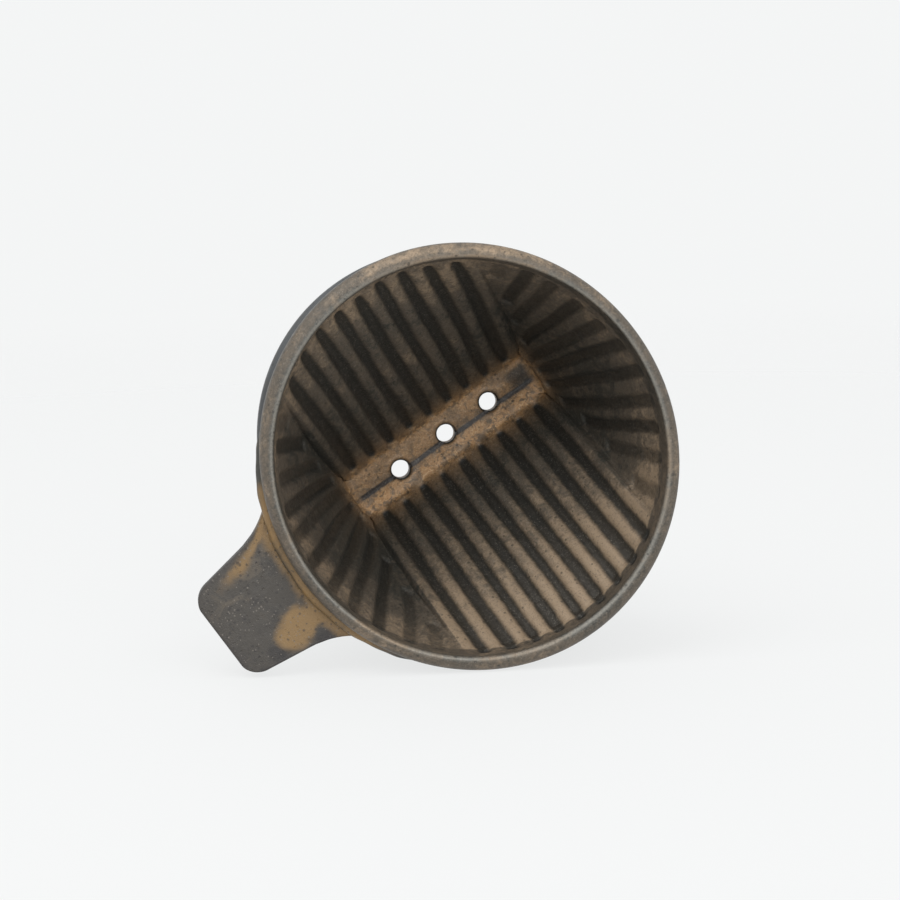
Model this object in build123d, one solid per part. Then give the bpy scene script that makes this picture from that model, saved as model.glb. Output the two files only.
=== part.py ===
from build123d import *
import math
import os

# Stoneware pour-over dripper, upright on its foot, in millimetres.
# X runs along the drain slot and out through the handle, Y goes across the flat walls,
# Z is up, and the origin is the middle of the foot's underside.

# Foot ring and saucer
foot_radius = 34.0
foot_wall = 4.0
foot_height = 7.0
foot_edge = 1.2
saucer_radius = 54.5
saucer_thick = 5.0
saucer_edge = 2.2
opening_margin = 4.5

# Slot floor and drain holes
floor_thick = 4.0
floor_half_width = 6.5
floor_rise = 1.8
crease_offset = 1.1
slot_half_length = 32.0
flat_end_gap = 0.5
shoulder_slant = 1.0
drain_diameter = 5.4
drain_places = [(16.0, 0.4), (-0.8, -0.5), (-16.3, -0.9)]

# Bowl, from the floor's underside to the lip; half sizes are along X and along Y
bowl_height = 73.5
band_height = 9.5
mouth_half_x = 51.8
mouth_half_y = 53.2
end_wall = 4.2
end_wall_top = 3.4
flat_wall = 4.9
flat_wall_top = 4.4
shoulder_wall = 2.0
band_flare = 0.6

# Lip: how far it stands out from the mouth along X and along Y, and its height
lip_reach_x = 3.94
lip_reach_y = 5.06
lip_height = 5.8
lip_bed = 1.0
lip_round_out = 1.9
lip_round_in = 1.1
lip_round_under = 0.5

# Flutes: straight ones on the flat walls and radial ones on the two end walls
flute_pitch = 6.75
flutes_each_side = 4
flute_width = 3.3
flute_depth = 1.1
flute_top_gap = 2.6
flute_floor_gap = 1.6
fan_step = 9.2
fans_each_side = 5
fan_width = 2.7
fan_depth = 0.9
fan_start_gap = 1.1

# Handle tab, turned a little about the upright axis as it was luted on by hand
handle_length = 26.96
handle_thick = 6.0
handle_drop = 2.4
handle_end_half = 13.4
handle_root_half = 16.0
handle_corner = 4.6
handle_flare = 22.0
handle_root_inset = 5.24
handle_root_offset = 8.0
handle_edge = 1.4
handle_root_sweep = 70.0
handle_turn = 1.2

# Rolls of slip along the joints
seam_radius = 2.0
seam_sweep = 46.0
seam_dive = 1.6
seam_rise = 0.7
under_seam_radius = 1.8
under_seam_sweep = 38.0
under_seam_dive = 0.7
under_seam_drop = 0.4
saucer_seam_width = 3.0
saucer_seam_height = 3.0
saucer_seam_land = 0.3

# Levels above the foot's underside
saucer_top = foot_height + saucer_thick
floor_level = saucer_top + floor_thick
floor_edge_level = floor_level + floor_rise
lip_top = saucer_top + bowl_height
flute_zone_top = lip_top - band_height
lip_bottom = lip_top - lip_height
handle_top = lip_bottom - handle_drop

# Sizes that follow from the ones above
flat_half_length = slot_half_length - flat_end_gap
base_radius = slot_half_length + end_wall
wall_top_x = mouth_half_x + end_wall_top
wall_top_y = mouth_half_y + flat_wall_top
lip_half_x = mouth_half_x + lip_reach_x
lip_half_y = mouth_half_y + lip_reach_y
handle_reach = lip_half_x + handle_length
handle_root_radius = lip_half_x - handle_root_inset

# Working sizes of the solids that only shape others
cheek_depth = 1.3 * mouth_half_y
cut_over = 5.0
cheek_clear = 0.3


def ellipse_face(half_x, half_y, level):
    """A horizontal ellipse at one level."""
    return Pos(0, 0, level) * Ellipse(half_x, half_y).face()


def end_radius(level):
    """Half sizes along X and Y of the end walls' inner cone at a level."""
    share = (level - floor_level) / (flute_zone_top - floor_level)
    half_x = slot_half_length + (mouth_half_x - slot_half_length) * share
    half_y = slot_half_length + (mouth_half_y - slot_half_length) * share
    return half_x, half_y


def outer_radius(level):
    """Half sizes along X and Y of the bowl's outer cone at a level."""
    share = (level - floor_level) / (flute_zone_top - floor_level)
    return base_radius + (wall_top_x - base_radius) * share, base_radius + (wall_top_y - base_radius) * share


def flat_wall_y(x, level):
    """Distance of the inner flat wall from the middle plane: ruled from line to mouth curve."""
    share = (level - floor_edge_level) / (flute_zone_top - floor_edge_level)
    mouth = mouth_half_y * math.sqrt(1 - (x / mouth_half_x) ** 2)
    return floor_half_width + (mouth - floor_half_width) * share


def cheek_section(level, side, reach, straight_y=None, half_x=None, half_y=None):
    """Outline of a cheek at one level: its inner edge is straight, or follows an ellipse."""
    if straight_y is not None:
        inner = Edge.make_line((-reach, side * straight_y, level), (reach, side * straight_y, level))
    else:
        steps = 12
        xs = [-reach + 2 * reach * i / steps for i in range(steps + 1)]
        curve = [(x, side * half_y * math.sqrt(1 - (x / half_x) ** 2), level) for x in xs]
        shares = [i / steps for i in range(steps + 1)]
        inner = Edge.make_spline(curve, parameters=shares)
    start, end = inner.position_at(0), inner.position_at(1)
    far = side * cheek_depth
    spread = reach + (cheek_depth - abs(end.Y)) * shoulder_slant
    corner_end, corner_start = (spread, far, level), (-spread, far, level)
    edges = [
        inner,
        Edge.make_line(end, corner_end),
        Edge.make_line(corner_end, corner_start),
        Edge.make_line(corner_start, start),
    ]
    return Wire(edges)


def cheeks(reach, levels):
    """The two solids outside the flat walls, each ruled between its sections."""
    solids = []
    for side in (1, -1):
        sections = [cheek_section(level, side, reach, **shape) for level, shape in levels]
        for lower, upper in zip(sections, sections[1:]):
            solids.append(Solid.make_loft([lower, upper], ruled=True))
    return solids


def cavity_cone():
    """The space inside the end walls up to the flute zone's top, and the band above it."""
    below = floor_level - cut_over
    cone = loft([
        ellipse_face(*end_radius(below), below),
        ellipse_face(*end_radius(flute_zone_top), flute_zone_top),
    ], ruled=True)
    above = lip_top + cut_over
    band = loft([
        ellipse_face(mouth_half_x, mouth_half_y, flute_zone_top),
        ellipse_face(mouth_half_x + band_flare, mouth_half_y + band_flare, above),
    ], ruled=True)
    return cone + band


def floor_bed():
    """Everything below the slot floor's two slopes, which meet in the crease."""
    half = floor_half_width
    low = floor_level - 2 * cut_over
    reach = slot_half_length + cut_over
    outline = Polyline(
        (-reach, -half - cut_over, low),
        (-reach, -half - cut_over, floor_edge_level),
        (-reach, -half, floor_edge_level),
        (-reach, crease_offset, floor_level),
        (-reach, half, floor_edge_level),
        (-reach, half + cut_over, floor_edge_level),
        (-reach, half + cut_over, low),
        close=True,
    )
    face = Face(Wire(outline.edges()))
    return extrude(face, amount=2 * reach, dir=(1, 0, 0))


def cavity():
    """The space for the coffee filter, without the flutes."""
    top = {"half_x": mouth_half_x + cheek_clear, "half_y": mouth_half_y + cheek_clear}
    inner_cheeks = cheeks(flat_half_length, [
        (floor_level - 2 * cut_over, {"straight_y": floor_half_width}),
        (floor_edge_level, {"straight_y": floor_half_width}),
        (flute_zone_top, top),
    ])
    space = cavity_cone()
    for cheek in inner_cheeks:
        space = space - cheek
    return space - floor_bed()


def bowl_body():
    """The bowl's outside below the lip, cut to its flat sides."""
    body = loft([
        ellipse_face(base_radius, base_radius, saucer_top),
        ellipse_face(base_radius, base_radius, floor_level),
    ], ruled=True)
    body = body + loft([
        ellipse_face(base_radius, base_radius, floor_level),
        ellipse_face(wall_top_x, wall_top_y, flute_zone_top),
    ], ruled=True)
    body = body + extrude(ellipse_face(wall_top_x, wall_top_y, flute_zone_top),
                          amount=lip_bottom + lip_bed - flute_zone_top)
    base_y = floor_half_width + flat_wall
    outer_cheeks = cheeks(flat_half_length + shoulder_wall, [
        (saucer_top - cut_over, {"straight_y": base_y}),
        (floor_edge_level, {"straight_y": base_y}),
        (flute_zone_top, {"half_x": wall_top_x + cheek_clear, "half_y": wall_top_y + cheek_clear}),
    ])
    for cheek in outer_cheeks:
        body = body - cheek
    return body


def level_edges(shape, level):
    """The edges that lie at one level, shortest first."""
    return shape.edges().filter_by_position(Axis.Z, level - 0.01, level + 0.01).sort_by(SortBy.LENGTH)


def lip():
    """The rounded lip, proud of the wall all round."""
    ring = extrude(ellipse_face(lip_half_x, lip_half_y, lip_bottom), amount=lip_height)
    bore = ellipse_face(mouth_half_x, mouth_half_y, lip_bottom - cut_over)
    bore = extrude(bore, amount=lip_height + 2 * cut_over)
    ring = ring - bore
    outer_edge = level_edges(ring, lip_top)[-1]
    ring = fillet(outer_edge, lip_round_out)
    ring = fillet(level_edges(ring, lip_top)[0], lip_round_in)
    return fillet(level_edges(ring, lip_bottom)[-1], lip_round_under)


def rod(start, end, width, depth, inward):
    """A round-ended rod whose lower side cuts a groove of this width and depth."""
    # A chord of the groove's width at the groove's depth gives the rod's radius.
    radius = (width ** 2 / 4 + depth ** 2) / (2 * depth)
    away = Vector(*inward).normalized()
    origin = Vector(*start) + away * (radius - depth)
    along = Vector(*end) - Vector(*start)
    length = along.length
    slant = radius * math.sqrt(0.5)
    outline = [
        Edge.make_three_point_arc((0, 0, -radius), (slant, 0, -slant), (radius, 0, 0)),
        Edge.make_line((radius, 0, 0), (radius, 0, length)),
        Edge.make_three_point_arc((radius, 0, length), (slant, 0, length + slant), (0, 0, length + radius)),
        Edge.make_line((0, 0, length + radius), (0, 0, -radius)),
    ]
    capsule = revolve(Face(Wire(outline)), Axis.Z)
    return Plane(origin=origin, x_dir=away, z_dir=along) * capsule


def lerp(a, b, share):
    """The point a share of the way from one point to another."""
    return tuple(p + (q - p) * share for p, q in zip(a, b))


def flat_flutes():
    """Rods for the parallel flutes of both flat walls."""
    rods = []
    top = flute_zone_top - flute_top_gap
    for side in (1, -1):
        for k in range(-flutes_each_side, flutes_each_side + 1):
            x = k * flute_pitch
            foot = (x, side * flat_wall_y(x, floor_edge_level), floor_edge_level)
            head = (x, side * flat_wall_y(x, top), top)
            length = math.dist(foot, head)
            start = lerp(foot, head, flute_floor_gap / length)
            rise, run = head[2] - foot[2], abs(head[1] - foot[1])
            inward = (0, -side * rise, run)
            rods.append(rod(start, head, flute_width, flute_depth, inward))
    return rods


def in_cheek(x, y, level):
    """Whether a point of the upper right quarter lies behind the flat wall or its shoulder."""
    inside_x = min(x, flat_half_length)
    return y > flat_wall_y(inside_x, level) + (x - inside_x) / shoulder_slant


def fan_start(angle):
    """Level at which an end-wall flute leaves the shoulder beside the flat wall."""
    low, high = floor_edge_level, flute_zone_top
    for _ in range(40):
        level = (low + high) / 2
        half_x, half_y = end_radius(level)
        if in_cheek(half_x * math.cos(angle), half_y * math.sin(angle), level):
            low = level
        else:
            high = level
    return low


def fan_flutes():
    """Rods for the radial flutes of both end walls."""
    rods = []
    top = flute_zone_top - flute_top_gap
    for end in (0.0, math.pi):
        for k in range(-fans_each_side, fans_each_side + 1):
            angle = math.radians(k * fan_step)
            level = fan_start(abs(angle)) + fan_start_gap
            points = []
            for z in (level, top):
                half_x, half_y = end_radius(z)
                points.append((half_x * math.cos(end + angle), half_y * math.sin(end + angle), z))
            rise = points[1][2] - points[0][2]
            run = math.dist(points[0][:2], points[1][:2])
            inward = (-math.cos(end + angle) * rise, -math.sin(end + angle) * rise, run)
            rods.append(rod(points[0], points[1], fan_width, fan_depth, inward))
    return rods


def bowl_outside():
    """The bowl as a full block, which the joint pieces are cut to."""
    return bowl_body() + lip()


def fluted_bowl():
    """The bowl with its filter space, flutes and drain holes."""
    bowl = bowl_outside() - cavity()
    for groove in flat_flutes() + fan_flutes():
        bowl = bowl - groove
    for x, y in drain_places:
        drill = Pos(x, y, saucer_top - cut_over) * Circle(drain_diameter / 2)
        bowl = bowl - extrude(drill, amount=floor_thick + floor_rise + 2 * cut_over)
    return bowl


def drain_opening():
    """Outline of the slot through the saucer, clear of every drain hole."""
    reach = max(abs(x) for x, _ in drain_places)
    radius = drain_diameter / 2 + opening_margin
    return SlotCenterToCenter(2 * reach, 2 * radius)


def saucer():
    """The disc that lies on the mug's rim, with the slot that the coffee falls through."""
    disc = extrude(Pos(0, 0, foot_height) * Circle(saucer_radius), amount=saucer_thick)
    disc = fillet(disc.edges(), saucer_edge)
    slot = Pos(0, 0, foot_height - cut_over) * drain_opening()
    return disc - extrude(slot, amount=saucer_thick + 2 * cut_over)


def foot_ring():
    """The low ring that sits inside the mug's mouth and is the dripper's foot."""
    ring = Circle(foot_radius) - Circle(foot_radius - foot_wall)
    ring = extrude(ring, amount=foot_height)
    return fillet(level_edges(ring, 0)[0], foot_edge)


def handle_outline():
    """Half of the tab's outline in plan: end corner, slanted side, flare and root arc."""
    centre = Vector(handle_root_offset, 0)
    flare_y = handle_root_half + handle_flare
    flare_x = math.sqrt((handle_root_radius + handle_flare) ** 2 - flare_y ** 2)
    flare_centre = centre + Vector(flare_x, flare_y)
    corner = Vector(handle_reach, handle_end_half)
    # The side line runs from the end corner and just touches the flare arc.
    to_corner = corner - flare_centre
    turn = math.acos(handle_flare / to_corner.length)
    touch_angle = math.atan2(to_corner.Y, to_corner.X) - turn
    touch = flare_centre + handle_flare * Vector(math.cos(touch_angle), math.sin(touch_angle))
    meet = centre + (flare_centre - centre) * (handle_root_radius / (handle_root_radius + handle_flare))
    middle = (touch - flare_centre) + (meet - flare_centre)
    bend = flare_centre + middle.normalized() * handle_flare
    root_angle = math.radians(handle_root_sweep)
    meet_angle = math.atan2(meet.Y, meet.X - handle_root_offset)
    half_way = (root_angle + meet_angle) / 2
    root_mid = centre + handle_root_radius * Vector(math.cos(half_way), math.sin(half_way))
    root_end = centre + handle_root_radius * Vector(math.cos(root_angle), math.sin(root_angle))
    return corner, touch, bend, meet, root_mid, root_end


def handle_block():
    """The tab before it is cut to the bowl."""
    corner, touch, bend, meet, root_mid, root_end = handle_outline()
    side = [
        Edge.make_line(corner, touch),
        Edge.make_three_point_arc(touch, bend, meet),
        Edge.make_three_point_arc(meet, root_mid, root_end),
    ]
    other = [edge.mirror(Plane.XZ) for edge in side]
    flip = Vector(root_end.X, -root_end.Y)
    ends = [
        Edge.make_line(Vector(corner.X, -corner.Y), corner),
        Edge.make_line(root_end, flip),
    ]
    face = Face(Wire(side + other + ends))
    tips = [v for v in face.vertices() if v.X > handle_reach - 0.01]
    face = face.fillet_2d(handle_corner, tips)
    block = extrude(Pos(0, 0, handle_top - handle_thick) * face, amount=handle_thick, dir=(0, 0, 1))
    rims = [e for e in block.edges() if abs(e.center().Z - handle_top) < 0.01
            or abs(e.center().Z - handle_top + handle_thick) < 0.01]
    rims = [e for e in rims if e.center().X > root_end.X + 0.01]
    return Rot(0, 0, handle_turn) * fillet(rims, handle_edge)


def handle_tab():
    """The flat tab that the dripper is lifted by, without crumbs left behind the bowl's walls."""
    tab = handle_block() - bowl_outside()
    return tab.solids().sort_by(SortBy.VOLUME)[-1]


def seam_roll(half_x, half_y, level, radius, sweep_angle, dive):
    """A roll of slip round the handle's side of an ellipse, whose ends sink into the wall."""
    points = []
    for side in (-1, 0, 1):
        angle = math.radians(handle_turn + side * sweep_angle)
        reach = 1 / math.hypot(math.cos(angle) / half_x, math.sin(angle) / half_y) - dive * abs(side)
        points.append(Vector(reach * math.cos(angle), reach * math.sin(angle), level))
    path = Edge.make_three_point_arc(*points)
    start = Plane(origin=points[0], z_dir=path.tangent_at(0))
    return sweep(start * Circle(radius), path=Wire([path]))


def handle_seam():
    """The roll in the corner between the tab's top, the wall and the lip."""
    level = handle_top + seam_rise
    roll = seam_roll(lip_half_x, lip_half_y, level, seam_radius, seam_sweep, seam_dive)
    return roll - lip() - bowl_body() - handle_block()


def handle_seam_under():
    """The thinner roll in the corner below the tab."""
    level = handle_top - handle_thick - under_seam_drop
    wall_x, wall_y = outer_radius(level)
    roll = seam_roll(wall_x, wall_y, level, under_seam_radius, under_seam_sweep, under_seam_dive)
    return roll - lip() - bowl_body() - handle_block()


def base_outline(extra):
    """Outline of the bowl's base, grown outwards."""
    width = 2 * (floor_half_width + flat_wall)
    outline = Circle(base_radius) & Rectangle(2 * base_radius, width)
    return offset(outline, amount=extra, kind=Kind.ARC)


def saucer_seam():
    """The fillet of slip round the bowl's base, on the saucer."""
    lower = Pos(0, 0, saucer_top) * base_outline(saucer_seam_width)
    ring = extrude(lower, amount=saucer_seam_height)
    outer_top = level_edges(ring, saucer_top + saucer_seam_height)
    ring = chamfer(outer_top, saucer_seam_width - saucer_seam_land)
    return ring - bowl_outside()


def export_all():
    """Writes every clay piece to its own file."""
    os.makedirs("parts", exist_ok=True)
    pieces = {
        "fluted_bowl": fluted_bowl(),
        "saucer": saucer(),
        "foot_ring": foot_ring(),
        "handle_tab": handle_tab(),
        "handle_seam": handle_seam(),
        "handle_seam_under": handle_seam_under(),
        "saucer_seam": saucer_seam(),
    }
    for name, shape in pieces.items():
        export_step(shape, f"parts/{name}.step")


export_all()
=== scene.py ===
import math

import bpy
import numpy as np
from bpy.props import FloatProperty, FloatVectorProperty, PointerProperty
from mathutils import Euler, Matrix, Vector


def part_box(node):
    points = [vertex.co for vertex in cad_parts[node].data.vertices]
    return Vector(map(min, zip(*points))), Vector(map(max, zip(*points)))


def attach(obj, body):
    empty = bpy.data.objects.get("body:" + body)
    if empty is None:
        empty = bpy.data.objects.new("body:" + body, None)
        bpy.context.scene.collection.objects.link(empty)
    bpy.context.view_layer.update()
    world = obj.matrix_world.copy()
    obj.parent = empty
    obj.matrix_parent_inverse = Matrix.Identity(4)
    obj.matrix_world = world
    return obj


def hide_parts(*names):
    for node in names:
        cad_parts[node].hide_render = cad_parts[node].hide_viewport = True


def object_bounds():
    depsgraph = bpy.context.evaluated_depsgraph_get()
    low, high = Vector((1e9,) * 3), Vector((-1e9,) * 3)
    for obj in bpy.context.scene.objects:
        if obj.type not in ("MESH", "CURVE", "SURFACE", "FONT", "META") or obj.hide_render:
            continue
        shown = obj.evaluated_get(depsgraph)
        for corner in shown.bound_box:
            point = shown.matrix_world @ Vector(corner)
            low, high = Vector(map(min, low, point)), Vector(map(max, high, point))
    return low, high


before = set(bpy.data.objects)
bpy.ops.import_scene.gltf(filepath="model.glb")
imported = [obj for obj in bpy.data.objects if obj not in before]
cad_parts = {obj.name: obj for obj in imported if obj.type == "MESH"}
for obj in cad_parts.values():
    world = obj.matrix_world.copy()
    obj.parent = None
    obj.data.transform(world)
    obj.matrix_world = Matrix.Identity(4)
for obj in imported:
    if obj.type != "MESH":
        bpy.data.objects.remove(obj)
cad_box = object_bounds()

bl_info = {
    "name": "Stoneware Pour-Over Dripper",
    "version": (1, 0, 0),
    "blender": (4, 5, 0),
    "location": "View3D > Sidebar > Dripper",
    "description": "Builds the glazed look of a hand-made stoneware coffee dripper",
    "category": "Add Mesh",
}

MM = 0.001
TAU = 2 * math.pi


def corner_mm(node, high):
    """One corner of a CAD node's box, in millimetres."""
    return np.array(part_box(node)[1 if high else 0]) / MM


# Places read from the frame, in millimetres
FOOT_RADIUS = corner_mm("foot_ring", True)[0]
FOOT_TOP = corner_mm("foot_ring", True)[2]
SAUCER_RADIUS = corner_mm("saucer", True)[1]
SAUCER_TOP = corner_mm("saucer", True)[2]
LIP_X, LIP_Y, LIP_TOP = corner_mm("fluted_bowl", True)
HANDLE_BOTTOM = corner_mm("handle_tab", False)[2]
HANDLE_TOP = corner_mm("handle_tab", True)[2]

# Shape of the filter space and the bowl round it, in millimetres
FLOOR_THICK = 4.0
FLOOR_RISE = 1.8
FLOOR_HALF = 6.5
CREASE_Y = 1.1
SLOT_HALF = 32.0
FLAT_HALF = 31.5
LIP_REACH = np.array((3.94, 5.06))
MOUTH = np.array((LIP_X, LIP_Y)) - LIP_REACH
BAND_HEIGHT = 9.5
LIP_HEIGHT = 5.8
WALL_SHARE = 0.866
END_WALL = 4.2
FLAT_WALL = 4.9
FLAT_HALF_OUT = 33.5
FLOOR_LEVEL = SAUCER_TOP + FLOOR_THICK
FLOOR_EDGE = FLOOR_LEVEL + FLOOR_RISE
FLUTE_TOP = LIP_TOP - BAND_HEIGHT
LIP_BOTTOM = LIP_TOP - LIP_HEIGHT
WALL_TOP = MOUTH + WALL_SHARE * LIP_REACH
BASE_RADIUS = SLOT_HALF + END_WALL
DRAINS = ((16.0, 0.4), (-0.8, -0.5), (-16.3, -0.9))

# Flutes of the flat walls and, as a fan, of the round end walls: how far apart they are, how much
# further they run on the +Y side, and how far their edges fade inwards and outwards
FLUTE_PITCH = 6.75
FLUTES_EACH_SIDE = 4
FLUTE_EXTRA = 4.6
FLUTE_SOFT = (1.7, 0.7)
TAPER_RUN = 6
FAN_STEP = math.radians(9.2)
FANS_EACH_SIDE = 6
FAN_EXTRA = 4.0
FAN_SOFT = (1.1, 0.5)

# Length along an end wall for each millimetre up, and how dark its flutes are next to the others
FAN_SLANT = 1.12
FAN_SHADE = 0.70

# Least widths of a shoulder, wear of its corners, and heights of small relief, in millimetres
LEAST_RUN, LEAST_RUN_HIGH = 0.05, 1.2
EDGE_WEAR = 3.5
RIDGE, COLLAR, WALL_WAVE = 0.12, 0.7, 0.10
FLOOR_WAVE, BURR, FALL = 0.18, 0.22, 0.5

# The lip's profile: shares of the way from the mouth's line to the lip's, its radii, its slow
# wave, and the share of a flute's depth that is left in the band below it
LIP_INNER, LIP_PEAK, LIP_OUTER = 0.12, 0.38, 0.995
INNER_ROUND, OUTER_ROUND, UNDER_ROUND = 1.3, 3.1, 0.55
LIP_WAVE = 0.16
BAND_SHARE = 0.75

# Saucer, its fillet and the foot, in millimetres
SAUCER_SLOT, SAUCER_EDGE = 7.2, 2.2
FILLET_OUT, FILLET_UP = 2.8, 2.7
FOOT_WALL = 4.0

# Kinds of column round the bowl's wall
END, SHOULDER, FLAT = 0, 1, 2

# Counts: grid rows and columns, smoothing passes and halvings of an interval
END_COLUMNS = 132
SHOULDER_COLUMNS = 9
FLAT_COLUMNS = 104
WALL_ROWS = 104
OUTSIDE_ROWS = 22
LINE_POINTS = 9
CELL_RINGS = 9
HOLE_ROWS = 3
UNDER_RINGS = 2
BAND_ROWS = 15
SAUCER_COLUMNS = 240
FOOT_COLUMNS = 180
HANDLE_ROWS, HANDLE_COLUMNS = 96, 90
ROLL_STEPS, ROLL_SIDES = 150, 20
WEAR_PASSES = 6
HALVINGS = 30

# Linear colours of single grains, of painted glints and of the crease, least roughness, and bump
# height in metres
CRYSTAL = (0.52, 0.37, 0.20)
DUST = (0.40, 0.36, 0.31)
GLINT = (0.30, 0.27, 0.23)
CREASE_INK = (0.012, 0.013, 0.015)
PALE_FLECK = (0.16, 0.14, 0.12)
SAND = (0.42, 0.33, 0.24)
LEAST_ROUGH = 0.12
BUMP_DISTANCE = 0.0002


def length(name, description, millimetres):
    """A length property, from millimetres."""
    return FloatProperty(name=name, description=description, default=millimetres * MM,
                         unit="LENGTH", subtype="DISTANCE")


class DripperSizes(bpy.types.PropertyGroup):
    """Sizes of the details that the glaze and the maker's tools leave."""

    drain: length("Drain hole", "Diameter of each drain hole", 5.4)
    flute_width: length("Flute width", "Width of a flute on the flat walls", 4.3)
    flute_depth: length("Flute depth", "Depth of a flute on the flat walls", 1.15)
    fan_share: FloatProperty(
        name="Fan share", description="Share of the pitch that an end wall's flute takes",
        default=0.60, min=0.2, max=0.9, subtype="FACTOR")
    fan_depth: length("Fan depth", "Depth of a flute on the round end walls", 0.9)
    seam: length("Seam roll", "Radius of the roll of slip above the handle", 2.0)
    handle_edge: length("Handle edge", "Radius of the handle's rounded edges", 1.4)


def colour(name, description, default):
    """A colour property, linear, from an eight-bit screen colour."""
    values = tuple(to_linear(c) for c in default)
    return FloatVectorProperty(
        name=name, description=description, default=values, size=3,
        subtype="COLOR", min=0.0, max=1.0)


def to_linear(value):
    """Screen value from 0 to 255 as linear light."""
    share = value / 255
    return share / 12.92 if share <= 0.04045 else ((share + 0.055) / 1.055) ** 2.4


class DripperColours(bpy.types.PropertyGroup):
    """Colours of the glazes and of the clay."""

    # The land colours follow the tone mask, so their tan is partly painted light on the bowl's +Y
    # side
    land_tan: colour("Land tan", "Where the glaze breaks thin on the lands", (145, 126, 104))
    land_brown: colour("Land brown", "Glaze on the lands where it is thicker", (84, 76, 66))
    land_dark: colour("Land dark", "Thickest glaze on the lands", (53, 52, 47))
    pool: colour("Pooled glaze", "Glaze pooled in the flutes", (31, 31, 28))
    gold: colour("Floor gold", "Crystalline glaze on the slot floor", (164, 126, 84))
    # Lip grey is laid along the lip's crest as a painted highlight
    lip: colour("Lip grey", "Glaze on the lip", (130, 127, 119))
    charcoal: colour("Charcoal", "Glaze on the handle and the saucer", (61, 57, 52))
    ink: colour("Ink", "Darkest patches of the handle's glaze", (40, 37, 36))
    tan: colour("Tan", "Bare-looking tan breaks on the handle", (124, 98, 61))
    slate: colour("Slate", "Bluish bloom on the saucer", (86, 91, 94))
    clay: colour("Clay", "Unglazed clay of the foot", (112, 84, 64))


def sizes():
    """The size properties of this scene."""
    return bpy.context.scene.dripper_sizes


def colours():
    """The colour properties of this scene."""
    return bpy.context.scene.dripper_colours


# ---------------------------------------------------------------- working surfaces

def smooth_step(low, high, value):
    """0 below low, 1 above high, and 3t^2 - 2t^3 of the share between them."""
    t = np.clip((value - low) / (high - low), 0, 1)
    return t * t * (3 - 2 * t)


def bell(value, middle, width):
    """1 at the middle, falling off as exp(-t^2) of the distance counted in widths."""
    return np.exp(-((value - middle) / width) ** 2)


def ripple(points, wavelength, seed, octaves=3):
    """Smooth wandering values about zero: sums of sine waves in seeded directions, each octave
    half as long and half as strong as the last."""
    rng = np.random.default_rng(seed)
    total = np.zeros(points.shape[:-1])
    for octave in range(octaves):
        for _ in range(4):
            way = rng.normal(size=3)
            way *= TAU / (wavelength * np.linalg.norm(way))
            total += np.sin(points @ way * 2 ** octave + rng.uniform(0, TAU)) / 2 ** octave
    return total / 4


def grid_quads(ids, wrap):
    """Four-cornered faces between neighbouring rows of an array of vertex numbers."""
    nxt = np.roll(ids, -1, axis=1) if wrap else ids[:, 1:]
    here = ids if wrap else ids[:, :-1]
    corners = (here[:-1], nxt[:-1], nxt[1:], here[1:])
    return np.stack([c.ravel() for c in corners], axis=1)


def grid_normals(points, wrap):
    """Unit normals of a grid of points: the cross product of its two gradients."""
    rows = np.gradient(points, axis=0)
    if wrap:
        padded = np.concatenate([points[:, -1:], points, points[:, :1]], axis=1)
        columns = np.gradient(padded, axis=1)[:, 1:-1]
    else:
        columns = np.gradient(points, axis=1)
    cross = np.cross(columns, rows)
    return cross / np.maximum(np.linalg.norm(cross, axis=-1, keepdims=True), 1e-9)


def link_object(name, data):
    """An object of this data, linked into the scene."""
    obj = bpy.data.objects.new(name, data)
    bpy.context.scene.collection.objects.link(obj)
    return obj


def add_piece(name, points, faces, material, replaced, masks):
    """Puts points in millimetres and faces into a smooth mesh that rides on the body."""
    mesh = bpy.data.meshes.new(name)
    corners = [tuple(face) for group in faces for face in group.tolist()]
    mesh.from_pydata((points * MM).tolist(), [], corners)
    mesh.validate()
    mesh.polygons.foreach_set("use_smooth", np.ones(len(mesh.polygons), bool))
    for key, values in masks.items():
        layer = mesh.attributes.new(key, "FLOAT", "POINT")
        layer.data.foreach_set("value", values.astype(np.float32))
    mesh.materials.append(material)
    piece = link_object(name, mesh)
    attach(piece, "root")
    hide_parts(*replaced)


class Shell:
    """Vertices, faces and masks of one mesh as they are added."""

    def __init__(self, keys=()):
        self.points, self.faces, self.count = [], [], 0
        self.masks = {key: [] for key in keys}

    def add(self, points, masks):
        """Adds an array of points with their masks, and returns their numbers in its shape."""
        size = points[..., 0].size
        ids = self.count + np.arange(size).reshape(points.shape[:-1])
        self.points.append(points.reshape(-1, 3))
        for key, values in self.masks.items():
            values.append(np.broadcast_to(masks.get(key, 0.0), points.shape[:-1]).ravel())
        self.count += size
        return ids

    def span(self, rows, step=1, wrap=True):
        """Adds the faces between rows of vertex numbers; a step of -1 turns them over."""
        self.faces.append(grid_quads(rows, wrap)[:, ::step])

    def build(self, name, material, replaced):
        """Makes the piece."""
        masks = {key: np.concatenate(values) for key, values in self.masks.items()}
        add_piece(name, np.concatenate(self.points), self.faces, material, replaced, masks)


def build_ring(name, points, step, material, replaced, masks):
    """A piece whose rows of points close on themselves both ways."""
    shell = Shell(masks)
    ids = shell.add(points, masks)
    shell.span(np.vstack([ids, ids[:1]]), step)
    shell.build(name, material, replaced)


# ---------------------------------------------------------------- the bowl's walls

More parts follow.
